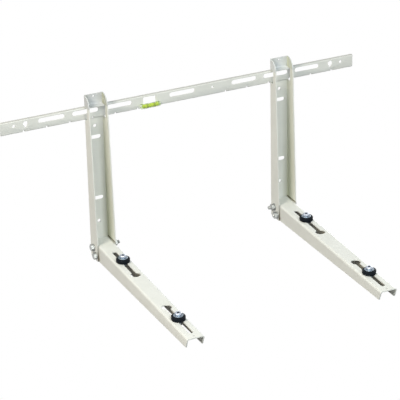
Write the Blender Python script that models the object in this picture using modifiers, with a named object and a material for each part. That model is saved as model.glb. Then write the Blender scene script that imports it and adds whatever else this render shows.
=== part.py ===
"""Wall bracket set for the outdoor unit of an air conditioner.

A slotted steel rail with a spirit level is screwed to the wall. Two brackets hook over it, each an
upright and an arm bolted together at the corner, and each arm carries two anti-vibration mounts.
The frame is the real one: X runs along the rail, +Y goes into the wall, +Z is up. The wall is the
plane y = 0 and the origin lies on it, at the middle of the rail.
"""
import math

import bmesh
import bpy
from mathutils import Matrix, Vector

MM = 0.001

# Fits shared by the whole set
GAP = 0.3 * MM              # between pieces that touch
HOLE_PLAY = 0.5 * MM        # round a bolt in its hole

# Rail: a shallow channel with its web to the front and its two legs back to the wall
RAIL_LENGTH = 800 * MM
RAIL_HEIGHT = 28 * MM
RAIL_DEPTH = 5 * MM
RAIL_SHEET = 1.5 * MM
RAIL_BEND = 1 * MM          # inside radius of the bends
RAIL_SLOT_LENGTH = 57 * MM
RAIL_SLOT_HEIGHT = 10 * MM
RAIL_SLOT_RISE = 4 * MM     # slots and keyholes lie this far above the middle of the web
RAIL_SLOT_FIRST = 142 * MM  # from the middle slot to the next one on each side
RAIL_SLOT_INSET = 110 * MM  # the outermost slot's middle from the rail's end
RAIL_SLOTS_PER_SIDE = 3     # spaced evenly from the first to the outermost
ROUND_HOLE_RISE = 2.8 * MM  # the round holes lie a little lower
END_HOLE_DIAMETER = 6.5 * MM
END_HOLE_INSET = 29 * MM
RAIL_KEYHOLE_DIAMETER = 10.5 * MM
RAIL_KEYHOLE_INSET = 54 * MM
RAIL_KEYHOLE_TAIL_WIDTH = 5 * MM
RAIL_KEYHOLE_TAIL_DROP = 9 * MM
PILOT_HOLE_DIAMETER = 5 * MM
PILOT_HOLE_X = 69 * MM
MARK_PITCH = 50 * MM        # a row of round notches, the ruler for setting the brackets
MARK_DIAMETER = 5 * MM
MARK_RISE = 1.5 * MM        # above the rail's lower edge, so that they open its lower bend
MARKS_FIRST = 2             # the three places nearest the middle have no mark
MARKS_LAST = 7

# Spirit level, bedded from the front in an opening of the rail's web
VIAL_X = -74 * MM
VIAL_DIAMETER = 11 * MM
VIAL_LENGTH = 42 * MM
VIAL_DROP = 8.4 * MM        # its axis below the middle of the web
VIAL_PROUD = 4 * MM         # its axis in front of the web
VIAL_BORE = 8.5 * MM
VIAL_END_WALL = 4 * MM
VIAL_PLUG_LENGTH = 4 * MM
BUBBLE_LENGTH = 10 * MM
BUBBLE_WIDTH = 5.6 * MM
BUBBLE_DEPTH = 2.4 * MM
WINDOW_WIDTH = 28 * MM
WINDOW_TOP = 9.7 * MM       # above the middle of the web
WINDOW_CORNER = 1.5 * MM

# Uprights: channels with the web on the wall and the flanges to the front
LEFT_BRACKET_X = -195.7 * MM
RIGHT_BRACKET_X = 226.3 * MM
UPRIGHT_WIDTH = 42.5 * MM
UPRIGHT_SHEET = 2.5 * MM
UPRIGHT_BEND = 1 * MM
UPRIGHT_RISE = 24.6 * MM    # above the rail's top
FLANGE_DEPTH_AT_RAIL = 27 * MM
FLANGE_DEPTH_AT_FOOT = 41 * MM
FLANGE_TOP_RADIUS = 21 * MM
FLANGE_FOOT_RADIUS = 4 * MM
NOTCH_DEPTH = 16 * MM       # into the flanges, from the wall, where the rail passes
LIP_REACH = 16 * MM         # the lip is folded forward out of the web and hangs on the rail
LIP_SLIT = 1.2 * MM         # the slits that free the lip from the flanges
LIP_SLIT_HEIGHT = 8 * MM
TAB_HOLE_DIAMETER = 4.5 * MM
TAB_HOLE_INSET = 4.6 * MM   # below the upright's top edge
WALL_HOLE_DIAMETER = 7.5 * MM
WALL_HOLE_UPPER = 32 * MM   # these four are below the middle of the rail
WALL_SLOT_UPPER = 57 * MM
WALL_SLOT_LOWER = 195 * MM
WALL_HOLE_LOWER = 248 * MM
WALL_SLOT_LENGTH = 24 * MM
WALL_SLOT_HEIGHT = 9 * MM

# Arms: channels with the web on top, let in between the flanges of their upright
ARM_DROP = 288 * MM         # the arm's top below the middle of the rail
ARM_REACH = 480 * MM        # the arm's tip from the wall
ARM_SHEET = 2.5 * MM
ARM_BEND = 1.5 * MM
ARM_DEPTH_AT_ROOT = 36 * MM
ARM_DEPTH_AT_KINK = 34.5 * MM
ARM_DEPTH_AT_TIP = 21 * MM
ARM_KINK = 80 * MM          # from the wall
ARM_KEYHOLE_DIAMETER = 21 * MM
ARM_SLOT_WIDTH = 9.5 * MM
REAR_SLOT_FROM_WALL = 75 * MM
REAR_SLOT_RUN = 115 * MM    # from the slot's narrow end to its keyhole's middle
FRONT_SLOT_INSET = 19 * MM  # from the arm's tip
FRONT_SLOT_RUN = 117 * MM
TIP_HOLE_DIAMETER = 5 * MM
TIP_HOLE_INSET = 8 * MM
TIP_SLANT = 7 * MM          # the flanges' lower corner lies this far behind the tip

# Corner bolts, two through each upright and arm
THREAD_DIAMETER = 8 * MM
THREAD_CHAMFER = 1 * MM
HEX_ACROSS_FLATS = 13 * MM
BOLT_HEAD_HEIGHT = 5.3 * MM
NUT_HEIGHT = 6.5 * MM
WASHER_DIAMETER = 16 * MM
WASHER_THICKNESS = 1.6 * MM
UPPER_BOLT_FROM_WALL = 19 * MM
UPPER_BOLT_BELOW_ARM_TOP = 10 * MM
UPPER_BOLT_TAIL = 6.5 * MM  # thread left past the nut
LOWER_BOLT_FROM_WALL = 32 * MM
LOWER_BOLT_BELOW_ARM_TOP = 24 * MM
LOWER_BOLT_TAIL = 2 * MM

# Anti-vibration mounts, which slide along the arm's slots
REAR_MOUNT_RUN = 51 * MM    # from the narrow end of its slot
FRONT_MOUNT_RUN = 61 * MM
RUBBER_DIAMETER = 29 * MM
RUBBER_HEIGHT = 8 * MM
RUBBER_ROUNDING = 1.2 * MM
MOUNT_WASHER_DIAMETER = 20 * MM
CAP_HEAD_DIAMETER = 13 * MM # a low socket head
CAP_HEAD_HEIGHT = 5 * MM
SOCKET_ACROSS_FLATS = 5 * MM
SOCKET_DEPTH = 3 * MM
MOUNT_BOLT_TAIL = 4 * MM

# How finely round forms are divided
ROUND_SIDES = 24
HOLE_SIDES = 24
MARK_SIDES = 12
CORNER_STEPS = 3
OVERCUT = 2 * MM            # a cutter reaches this far past what it cuts

# Places that follow from the sizes
RAIL_TOP = RAIL_HEIGHT / 2
RAIL_FRONT = -RAIL_DEPTH
UPRIGHT_TOP = RAIL_TOP + UPRIGHT_RISE
ARM_TOP = -ARM_DROP
UPRIGHT_FOOT = ARM_TOP - ARM_DEPTH_AT_ROOT
UPRIGHT_INSIDE = UPRIGHT_WIDTH - 2 * UPRIGHT_SHEET
ARM_WIDTH = UPRIGHT_INSIDE - 2 * GAP
ARM_ROOT = -(UPRIGHT_SHEET + UPRIGHT_BEND)    # clear of the bend inside the upright
REAR_KEYHOLE = REAR_SLOT_FROM_WALL + REAR_SLOT_RUN     # these five are from the wall
FRONT_SLOT_END = ARM_REACH - FRONT_SLOT_INSET
FRONT_KEYHOLE = FRONT_SLOT_END - FRONT_SLOT_RUN
REAR_MOUNT = REAR_SLOT_FROM_WALL + REAR_MOUNT_RUN
FRONT_MOUNT = FRONT_SLOT_END - FRONT_MOUNT_RUN
NOTCH_TOP = RAIL_TOP + GAP
BOLT_HOLE = THREAD_DIAMETER + 2 * HOLE_PLAY
NUT_BORE = THREAD_DIAMETER + 2 * GAP
VIAL_AXIS = Vector((VIAL_X, RAIL_FRONT - VIAL_PROUD, -VIAL_DROP))

# Where the x, y and z of a flat drawing point in the room
SIDE_VIEW = Matrix(((0, 0, 1), (1, 0, 0), (0, 1, 0)))      # drawn in Y and Z, thick along X
FRONT_VIEW = Matrix(((1, 0, 0), (0, 0, -1), (0, 1, 0)))    # drawn in X and Z, thick along -Y
TOP_VIEW = Matrix(((1, 0, 0), (0, 1, 0), (0, 0, 1)))       # drawn in X and Y, thick along Z


class Group:
    """The collections that pieces and cutters go to, and the empty that carries them."""

    def __init__(self, parts, cutters, carrier=None):
        self.parts = parts
        self.cutters = cutters
        self.carrier = carrier

    def carried(self, name, place):
        """A group on an empty of its own, at a place measured from this group's empty."""
        empty = bpy.data.objects.new(name, None)
        empty.empty_display_size = 0.02
        empty.location = place
        empty.parent = self.carrier
        self.parts.objects.link(empty)
        return Group(self.parts, self.cutters, empty)

    def add(self, name, mesh, cutter):
        """A new object of the group, as a piece or as a cutter."""
        new_object = bpy.data.objects.new(name, mesh)
        new_object.parent = self.carrier
        if cutter:
            self.cutters.objects.link(new_object)
            new_object.display_type = "WIRE"
            new_object.hide_render = True
        else:
            self.parts.objects.link(new_object)
        return new_object


def clear_scene():
    for scene_object in list(bpy.data.objects):
        bpy.data.objects.remove(scene_object, do_unlink=True)


def new_collection(name):
    collection = bpy.data.collections.new(name)
    bpy.context.scene.collection.children.link(collection)
    return collection


def paint(name, colour, roughness, metallic=0.0, transmission=0.0):
    """A Principled material in one plain colour."""
    material = bpy.data.materials.new(name)
    material.use_nodes = True
    shader = material.node_tree.nodes["Principled BSDF"]
    shader.inputs["Base Color"].default_value = (*colour, 1.0)
    shader.inputs["Roughness"].default_value = roughness
    shader.inputs["Metallic"].default_value = metallic
    shader.inputs["Transmission Weight"].default_value = transmission
    return material


def finish(part, material, smooth_angle=40):
    """Give a piece its own copy of a material and shade its round faces smooth."""
    own_material = material.copy()
    own_material.name = part.name + "_finish"
    part.data.materials.clear()
    part.data.materials.append(own_material)
    part.data.shade_smooth()
    part.data.set_sharp_from_angle(angle=math.radians(smooth_angle))
    return part


def rounded(corners):
    """Points of an outline whose corners (x, y, radius) are replaced by arcs."""
    points = []
    for index, (x, y, radius) in enumerate(corners):
        here = Vector((x, y))
        if radius <= 0:
            points.append(here)
            continue
        before = (Vector(corners[index - 1][:2]) - here).normalized()
        after = (Vector(corners[(index + 1) % len(corners)][:2]) - here).normalized()
        half = before.angle(after) / 2
        start = here + before * radius / math.tan(half)
        end = here + after * radius / math.tan(half)
        centre = here + (before + after).normalized() * radius / math.sin(half)
        first = math.atan2(start.y - centre.y, start.x - centre.x)
        turn = math.atan2(end.y - centre.y, end.x - centre.x) - first
        turn = (turn + math.pi) % (2 * math.pi) - math.pi
        for step in range(CORNER_STEPS + 1):
            angle = first + turn * step / CORNER_STEPS
            points.append(centre + radius * Vector((math.cos(angle), math.sin(angle))))
    return points


def circle(x, y, diameter, sides=HOLE_SIDES):
    """Points of a circle."""
    radius = diameter / 2
    turns = [2 * math.pi * step / sides for step in range(sides)]
    return [Vector((x + radius * math.cos(turn), y + radius * math.sin(turn))) for turn in turns]


def slot(x0, y0, x1, y1, width):
    """Points of a slot with round ends, between the middles of its two ends."""
    along = math.atan2(y1 - y0, x1 - x0)
    radius = width / 2
    points = []
    for x, y, first in ((x1, y1, along - math.pi / 2), (x0, y0, along + math.pi / 2)):
        for step in range(HOLE_SIDES // 2 + 1):
            angle = first + math.pi * step / (HOLE_SIDES // 2)
            points.append(Vector((x + radius * math.cos(angle), y + radius * math.sin(angle))))
    return points


def hexagon(across_flats):
    """Points of a hexagon, with a corner to the side."""
    return circle(0, 0, 2 * across_flats / math.sqrt(3), sides=6)


def channel_outline(width, depth, sheet, bend):
    """A channel's section: web along x at y = 0, two legs running to y = -depth."""
    half = width / 2
    return rounded([(-half, -depth, 0), (-half, 0, bend + sheet), (half, 0, bend + sheet),
                    (half, -depth, 0), (half - sheet, -depth, 0), (half - sheet, -sheet, bend),
                    (-half + sheet, -sheet, bend), (-half + sheet, -depth, 0)])


def slab(group, name, outline, low, high, view, cutter=False, place=(0, 0, 0)):
    """A flat outline, drawn as a 2D curve and made thick from low to high along its view."""
    curve = bpy.data.curves.new(name, "CURVE")
    curve.dimensions = "2D"
    curve.fill_mode = "BOTH"
    curve.extrude = (high - low) / 2
    spline = curve.splines.new("POLY")
    spline.points.add(len(outline) - 1)
    for point, corner in zip(spline.points, outline):
        point.co = (corner[0], corner[1], 0, 1)
    spline.use_cyclic_u = True
    drawing = bpy.data.objects.new(name + "_drawing", curve)
    bpy.context.scene.collection.objects.link(drawing)
    depsgraph = bpy.context.evaluated_depsgraph_get()
    mesh = bpy.data.meshes.new_from_object(drawing.evaluated_get(depsgraph))
    bpy.data.objects.remove(drawing)
    shape = bmesh.new()
    shape.from_mesh(mesh)
    bmesh.ops.remove_doubles(shape, verts=shape.verts[:], dist=0.01 * MM)
    bmesh.ops.translate(shape, vec=(0, 0, (low + high) / 2), verts=shape.verts[:])
    bmesh.ops.transform(shape, matrix=view.to_4x4(), verts=shape.verts[:])
    bmesh.ops.recalc_face_normals(shape, faces=shape.faces[:])
    shape.to_mesh(mesh)
    shape.free()
    solid = group.add(name, mesh, cutter)
    solid.location = place
    return solid


def turned(group, name, profile, axis, place, cutter=False):
    """A turned piece: its profile's points (radius, height) run down its outer side."""
    shape = bmesh.new()
    points = [shape.verts.new((radius, 0, height)) for radius, height in profile]
    for start, end in zip(points, points[1:] + points[:1]):
        if start.co.x > 0 or end.co.x > 0:
            shape.edges.new((start, end))
    mesh = bpy.data.meshes.new(name)
    shape.to_mesh(mesh)
    shape.free()
    part = group.add(name, mesh, cutter)
    screw = part.modifiers.new("turn", "SCREW")
    screw.axis = "Z"
    screw.steps = ROUND_SIDES
    screw.render_steps = ROUND_SIDES
    screw.use_merge_vertices = True
    screw.merge_threshold = 0.01 * MM
    part.rotation_euler = {"X": (0, math.pi / 2, 0), "Z": (0, 0, 0)}[axis]
    part.location = place
    return part


def trim(part, tool, operation="DIFFERENCE"):
    """Cut or join a piece with a tool by an exact Boolean."""
    cut = part.modifiers.new(tool.name, "BOOLEAN")
    cut.operation = operation
    cut.solver = "EXACT"
    cut.object = tool


def rail_slot_places():
    """Middles of the rail's long slots along X."""
    outermost = RAIL_LENGTH / 2 - RAIL_SLOT_INSET
    pitch = (outermost - RAIL_SLOT_FIRST) / (RAIL_SLOTS_PER_SIDE - 1)
    outward = [RAIL_SLOT_FIRST + pitch * count for count in range(RAIL_SLOTS_PER_SIDE)]
    return [0.0] + [side * x for x in outward for side in (-1, 1)]


def make_rail(group, material):
    """The rail: its channel section along X, then every slot, hole and opening."""
    section = [Vector((RAIL_FRONT - point.y, point.x))
               for point in channel_outline(RAIL_HEIGHT, RAIL_DEPTH, RAIL_SHEET, RAIL_BEND)]
    rail = slab(group, "rail", section, -RAIL_LENGTH / 2, RAIL_LENGTH / 2, SIDE_VIEW)

    def punch(name, outline, depth=RAIL_SHEET + OVERCUT):
        trim(rail, slab(group, "rail_" + name, outline, RAIL_DEPTH - depth, RAIL_DEPTH + OVERCUT,
                        FRONT_VIEW, cutter=True))

    half_slot = (RAIL_SLOT_LENGTH - RAIL_SLOT_HEIGHT) / 2
    for number, x in enumerate(rail_slot_places()):
        punch(f"slot_{number}",
              slot(x - half_slot, RAIL_SLOT_RISE, x + half_slot, RAIL_SLOT_RISE, RAIL_SLOT_HEIGHT))
    for side, sign in (("left", -1), ("right", 1)):
        x = sign * (RAIL_LENGTH / 2 - END_HOLE_INSET)
        punch(f"{side}_end_hole", circle(x, ROUND_HOLE_RISE, END_HOLE_DIAMETER))
        x = sign * (RAIL_LENGTH / 2 - RAIL_KEYHOLE_INSET)
        punch(f"{side}_keyhole", circle(x, RAIL_SLOT_RISE, RAIL_KEYHOLE_DIAMETER))
        tail_end = RAIL_SLOT_RISE - RAIL_KEYHOLE_TAIL_DROP + RAIL_KEYHOLE_TAIL_WIDTH / 2
        punch(f"{side}_keyhole_tail",
              slot(x, RAIL_SLOT_RISE, x, tail_end, RAIL_KEYHOLE_TAIL_WIDTH))
        for count in range(MARKS_FIRST, MARKS_LAST + 1):
            x = sign * count * MARK_PITCH
            punch(f"{side}_mark_{count}",
                  circle(x, MARK_RISE - RAIL_TOP, MARK_DIAMETER, MARK_SIDES), MARK_DIAMETER / 2)
    punch("pilot_hole", circle(PILOT_HOLE_X, ROUND_HOLE_RISE, PILOT_HOLE_DIAMETER))
    left = VIAL_X - WINDOW_WIDTH / 2
    right = VIAL_X + WINDOW_WIDTH / 2
    punch("window", rounded([(left, -VIAL_DROP, 0), (right, -VIAL_DROP, 0),
                             (right, WINDOW_TOP, WINDOW_CORNER), (left, WINDOW_TOP, WINDOW_CORNER)]))
    half_seat = VIAL_LENGTH / 2 + GAP
    seat_radius = VIAL_DIAMETER / 2 + GAP
    trim(rail, turned(group, "rail_vial_seat",
                      [(0, half_seat), (seat_radius, half_seat), (seat_radius, -half_seat),
                       (0, -half_seat)], "X", VIAL_AXIS, cutter=True))
    finish(rail, material)


def make_level(group, clear, liquid_material):
    """The spirit level: a clear tube with a blind bore, its liquid with the bubble, and a plug."""
    half = VIAL_LENGTH / 2
    bore = VIAL_BORE / 2
    blind_end = VIAL_END_WALL - half
    plug_end = half - VIAL_PLUG_LENGTH
    tube = turned(group, "level_tube",
                  [(bore, half), (VIAL_DIAMETER / 2, half), (VIAL_DIAMETER / 2, -half), (0, -half),
                   (0, blind_end), (bore, blind_end)], "X", VIAL_AXIS)
    finish(tube, clear)
    plug = turned(group, "level_plug", [(0, half), (bore - GAP, half), (bore - GAP, plug_end),
                                        (0, plug_end)], "X", VIAL_AXIS)
    finish(plug, clear)
    liquid = turned(group, "level_liquid",
                    [(0, plug_end - GAP), (bore - GAP, plug_end - GAP), (bore - GAP, blind_end + GAP),
                     (0, blind_end + GAP)], "X", VIAL_AXIS)
    shape = bmesh.new()
    bmesh.ops.create_uvsphere(shape, u_segments=20, v_segments=12, radius=0.5)
    bmesh.ops.scale(shape, vec=(BUBBLE_LENGTH, BUBBLE_WIDTH, 2 * BUBBLE_DEPTH), verts=shape.verts[:])
    mesh = bpy.data.meshes.new("level_bubble")
    shape.to_mesh(mesh)
    shape.free()
    bubble = group.add("level_bubble", mesh, cutter=True)
    bubble.location = VIAL_AXIS + Vector((0, 0, bore - GAP))
    trim(liquid, bubble)
    finish(liquid, liquid_material)


def upright_side():
    """The upright seen from its side: tapered flanges, a round top corner, the rail's notch."""
    slope = (FLANGE_DEPTH_AT_FOOT - FLANGE_DEPTH_AT_RAIL) / -UPRIGHT_FOOT
    depth_at_top = FLANGE_DEPTH_AT_RAIL - slope * UPRIGHT_TOP
    return rounded([(0, UPRIGHT_TOP, 0), (0, NOTCH_TOP, 0), (-NOTCH_DEPTH, NOTCH_TOP, 0),
                    (-NOTCH_DEPTH, -NOTCH_TOP, 0), (0, -NOTCH_TOP, 0),
                    (0, UPRIGHT_FOOT, FLANGE_FOOT_RADIUS),
                    (-FLANGE_DEPTH_AT_FOOT, UPRIGHT_FOOT, FLANGE_FOOT_RADIUS),
                    (-depth_at_top, UPRIGHT_TOP, FLANGE_TOP_RADIUS)])


def corner_bolt_places():
    """Name, distance along Y, height and spare thread of the two corner bolts."""
    return (("upper", -UPPER_BOLT_FROM_WALL, ARM_TOP - UPPER_BOLT_BELOW_ARM_TOP, UPPER_BOLT_TAIL),
            ("lower", -LOWER_BOLT_FROM_WALL, ARM_TOP - LOWER_BOLT_BELOW_ARM_TOP, LOWER_BOLT_TAIL))


def cross_drill(group, part):
    """Bore the corner bolts' holes right across a channel."""
    reach = UPRIGHT_WIDTH / 2 + OVERCUT
    for place, y, z, _ in corner_bolt_places():
        trim(part, slab(group, f"{part.name}_{place}_bolt_hole", circle(y, z, BOLT_HOLE),
                        -reach, reach, SIDE_VIEW, cutter=True))


def make_upright(group, side, material):
    """An upright: a channel trimmed to its side view, with its lip folded out, then punched."""
    section = channel_outline(UPRIGHT_WIDTH, FLANGE_DEPTH_AT_FOOT + OVERCUT, UPRIGHT_SHEET,
                              UPRIGHT_BEND)
    upright = slab(group, f"{side}_upright", section, UPRIGHT_FOOT - OVERCUT, UPRIGHT_TOP + OVERCUT,
                   TOP_VIEW)
    reach = UPRIGHT_WIDTH / 2 + OVERCUT
    trim(upright, slab(group, f"{side}_upright_side", upright_side(), -reach, reach, SIDE_VIEW,
                       cutter=True), "INTERSECT")

    half_inside = UPRIGHT_INSIDE / 2 - UPRIGHT_BEND
    slit_top = NOTCH_TOP + LIP_SLIT_HEIGHT
    freed = [(-half_inside, -OVERCUT), (half_inside, -OVERCUT), (half_inside, slit_top),
             (-half_inside, slit_top)]
    trim(upright, slab(group, f"{side}_lip_slits", freed, -OVERCUT, UPRIGHT_SHEET + OVERCUT / 2,
                       FRONT_VIEW, cutter=True))
    lip = rounded([(0, slit_top + OVERCUT, 0), (0, NOTCH_TOP, UPRIGHT_BEND + UPRIGHT_SHEET),
                   (-LIP_REACH, NOTCH_TOP, 0), (-LIP_REACH, NOTCH_TOP + UPRIGHT_SHEET, 0),
                   (-UPRIGHT_SHEET, NOTCH_TOP + UPRIGHT_SHEET, UPRIGHT_BEND),
                   (-UPRIGHT_SHEET, slit_top + OVERCUT, 0)])
    half_lip = half_inside - LIP_SLIT
    trim(upright, slab(group, f"{side}_lip", lip, -half_lip, half_lip, SIDE_VIEW, cutter=True),
         "UNION")

    half_slot = (WALL_SLOT_LENGTH - WALL_SLOT_HEIGHT) / 2
    punched = {
        "tab_hole": circle(0, UPRIGHT_TOP - TAB_HOLE_INSET, TAB_HOLE_DIAMETER),
        "wall_hole_upper": circle(0, -WALL_HOLE_UPPER, WALL_HOLE_DIAMETER),
        "wall_slot_upper": slot(-half_slot, -WALL_SLOT_UPPER, half_slot, -WALL_SLOT_UPPER,
                                WALL_SLOT_HEIGHT),
        "wall_slot_lower": slot(-half_slot, -WALL_SLOT_LOWER, half_slot, -WALL_SLOT_LOWER,
                                WALL_SLOT_HEIGHT),
        "wall_hole_lower": circle(0, -WALL_HOLE_LOWER, WALL_HOLE_DIAMETER),
    }
    for name, outline in punched.items():
        trim(upright, slab(group, f"{side}_{name}", outline, -OVERCUT, UPRIGHT_SHEET + OVERCUT,
                           FRONT_VIEW, cutter=True))
    cross_drill(group, upright)
    finish(upright, material)


def make_arm(group, side, material):
    """An arm: a channel open downwards, trimmed to its tapered side view, then punched."""
    section = [Vector((point.x, ARM_TOP + point.y))
               for point in channel_outline(ARM_WIDTH, ARM_DEPTH_AT_ROOT + OVERCUT, ARM_SHEET,
                                            ARM_BEND)]
    arm = slab(group, f"{side}_arm", section, -ARM_ROOT, ARM_REACH, FRONT_VIEW)
    reach = ARM_WIDTH / 2 + OVERCUT
    beyond_root = ARM_ROOT + OVERCUT
    side_outline = rounded([(beyond_root, ARM_TOP + OVERCUT, 0),
                            (beyond_root, ARM_TOP - ARM_DEPTH_AT_ROOT, 0),
                            (-FLANGE_DEPTH_AT_FOOT, ARM_TOP - ARM_DEPTH_AT_ROOT, 0),
                            (-ARM_KINK, ARM_TOP - ARM_DEPTH_AT_KINK, 0),
                            (TIP_SLANT - ARM_REACH, ARM_TOP - ARM_DEPTH_AT_TIP, 0),
                            (-ARM_REACH, ARM_TOP - ARM_SHEET - ARM_BEND, 0),
                            (-ARM_REACH - OVERCUT, ARM_TOP - ARM_SHEET - ARM_BEND, 0),
                            (-ARM_REACH - OVERCUT, ARM_TOP + OVERCUT, 0)])
    trim(arm, slab(group, f"{side}_arm_side", side_outline, -reach, reach, SIDE_VIEW, cutter=True),
         "INTERSECT")
    rear_end = -REAR_SLOT_FROM_WALL - ARM_SLOT_WIDTH / 2
    front_end = -FRONT_SLOT_END + ARM_SLOT_WIDTH / 2
    punched = {
        "rear_keyhole": circle(0, -REAR_KEYHOLE, ARM_KEYHOLE_DIAMETER),
        "rear_slot": slot(0, -REAR_KEYHOLE, 0, rear_end, ARM_SLOT_WIDTH),
        "front_keyhole": circle(0, -FRONT_KEYHOLE, ARM_KEYHOLE_DIAMETER),
        "front_slot": slot(0, front_end, 0, -FRONT_KEYHOLE, ARM_SLOT_WIDTH),
        "tip_hole": circle(0, -ARM_REACH + TIP_HOLE_INSET, TIP_HOLE_DIAMETER),
    }
    for name, outline in punched.items():
        trim(arm, slab(group, f"{side}_{name}", outline, ARM_TOP - ARM_SHEET - OVERCUT,
                       ARM_TOP + OVERCUT, TOP_VIEW, cutter=True))
    cross_drill(group, arm)
    finish(arm, material)


def make_washer(group, name, diameter, axis, place, material):
    """A plain washer, its middle at its place."""
    half = WASHER_THICKNESS / 2
    bore = THREAD_DIAMETER / 2 + GAP
    profile = [(bore, half), (diameter / 2, half), (diameter / 2, -half), (bore, -half)]
    finish(turned(group, name, profile, axis, place), material)


def make_nut(group, name, view, place, material):
    """A hexagon nut bored through, its middle at its place."""
    half = NUT_HEIGHT / 2
    nut = slab(group, name, hexagon(HEX_ACROSS_FLATS), -half, half, view, place=place)
    trim(nut, slab(group, name + "_bore", circle(0, 0, NUT_BORE), -half - OVERCUT, half + OVERCUT,
                   view, cutter=True, place=place))
    finish(nut, material)


def make_corner_bolt(group, name, outward, y, z, tail, material):
    """A hexagon bolt from the bracket's outer side through upright and arm, two washers, a nut."""
    washer_middle = UPRIGHT_WIDTH / 2 + GAP + WASHER_THICKNESS / 2
    seat = washer_middle + WASHER_THICKNESS / 2 + GAP
    for part, side in (("bolt_washer", outward), ("nut_washer", -outward)):
        make_washer(group, f"{name}_{part}", WASHER_DIAMETER, "X", (side * washer_middle, y, z),
                    material)
    nut_middle = seat + NUT_HEIGHT / 2
    make_nut(group, f"{name}_nut", SIDE_VIEW, (-outward * nut_middle, y, z), material)
    head_middle = seat + BOLT_HEAD_HEIGHT / 2
    bolt = slab(group, f"{name}_bolt", hexagon(HEX_ACROSS_FLATS), -BOLT_HEAD_HEIGHT / 2,
                BOLT_HEAD_HEIGHT / 2, SIDE_VIEW, place=(outward * head_middle, y, z))
    radius = THREAD_DIAMETER / 2
    length = head_middle + seat + NUT_HEIGHT + tail
    shank = turned(group, f"{name}_shank",
                   [(0, 0), (radius, 0), (radius, THREAD_CHAMFER - length),
                    (radius - THREAD_CHAMFER, -length), (0, -length)], "X",
                   (outward * head_middle, y, z), cutter=True)
    if outward < 0:
        shank.rotation_euler = (0, -math.pi / 2, 0)
    trim(bolt, shank, "UNION")
    finish(bolt, material)


def make_mount(group, name, rubber_material, material):
    """A rubber puck and washer on the arm, a cap bolt down through its slot, washer and nut."""
    bore = THREAD_DIAMETER / 2 + GAP
    rim = RUBBER_DIAMETER / 2
    edge = RUBBER_ROUNDING
    rubber = turned(group, f"{name}_rubber",
                    [(bore, RUBBER_HEIGHT), (rim - edge, RUBBER_HEIGHT), (rim, RUBBER_HEIGHT - edge),
                     (rim, edge), (rim - edge, 0), (bore, 0)], "Z", (0, 0, GAP))
    finish(rubber, rubber_material)
    washer_middle = 2 * GAP + RUBBER_HEIGHT + WASHER_THICKNESS / 2
    make_washer(group, f"{name}_top_washer", MOUNT_WASHER_DIAMETER, "Z", (0, 0, washer_middle),
                material)
    under_middle = -ARM_SHEET - GAP - WASHER_THICKNESS / 2
    make_washer(group, f"{name}_under_washer", MOUNT_WASHER_DIAMETER, "Z", (0, 0, under_middle),
                material)
    nut_top = under_middle - WASHER_THICKNESS / 2 - GAP
    make_nut(group, f"{name}_nut", TOP_VIEW, (0, 0, nut_top - NUT_HEIGHT / 2), material)
    seat = washer_middle + WASHER_THICKNESS / 2 + GAP
    end = nut_top - NUT_HEIGHT - MOUNT_BOLT_TAIL - seat
    head = CAP_HEAD_DIAMETER / 2
    thread = THREAD_DIAMETER / 2
    bolt = turned(group, f"{name}_bolt",
                  [(0, CAP_HEAD_HEIGHT), (head - THREAD_CHAMFER, CAP_HEAD_HEIGHT),
                   (head, CAP_HEAD_HEIGHT - THREAD_CHAMFER), (head, 0), (thread, 0),
                   (thread, end + THREAD_CHAMFER), (thread - THREAD_CHAMFER, end), (0, end)],
                  "Z", (0, 0, seat))
    trim(bolt, slab(group, f"{name}_socket", hexagon(SOCKET_ACROSS_FLATS),
                    CAP_HEAD_HEIGHT - SOCKET_DEPTH, CAP_HEAD_HEIGHT + OVERCUT, TOP_VIEW,
                    cutter=True, place=(0, 0, seat)))
    finish(bolt, material)


def build():
    clear_scene()
    wall = Group(new_collection("air_conditioner_wall_bracket"), new_collection("cutters"))
    enamel = paint("enamel", (0.70, 0.71, 0.66), 0.45)
    zinc = paint("zinc", (0.62, 0.66, 0.72), 0.28, metallic=1.0)
    rubber = paint("rubber", (0.012, 0.014, 0.018), 0.55)
    acrylic = paint("acrylic", (0.92, 0.95, 0.88), 0.08, transmission=0.9)
    liquid = paint("liquid", (0.62, 0.80, 0.05), 0.10, transmission=0.6)
    make_rail(wall, enamel)
    make_level(wall, acrylic, liquid)
    for side, outward, x in (("left", -1, LEFT_BRACKET_X), ("right", 1, RIGHT_BRACKET_X)):
        bracket = wall.carried(f"{side}_bracket", (x, 0, 0))
        make_upright(bracket, side, enamel)
        make_arm(bracket, side, enamel)
        for place, y, z, tail in corner_bolt_places():
            make_corner_bolt(bracket, f"{side}_{place}_corner", outward, y, z, tail, zinc)
        for place, from_wall in (("rear", REAR_MOUNT), ("front", FRONT_MOUNT)):
            mount = bracket.carried(f"{side}_{place}_mount", (0, -from_wall, ARM_TOP))
            make_mount(mount, f"{side}_{place}_mount", rubber, zinc)


build()
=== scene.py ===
# %% [markdown]
# # Wall bracket set for an air conditioner's outdoor unit
#
# The real object is a slotted steel rail with a small spirit level, two brackets that hook over the
# rail, and four rubber mounts. The solids of all of them already exist in one imported frame, in metres.
# This notebook dresses that frame: it gives the sheet steel its broken edges and its powder coat, and it
# replaces the plain bolts, nuts, washers, pucks and the level's tube with pieces that carry the fine forms.

# %% Load the frame
import math

import bmesh
import bpy
import numpy as np
from mathutils import Matrix, Vector


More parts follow.
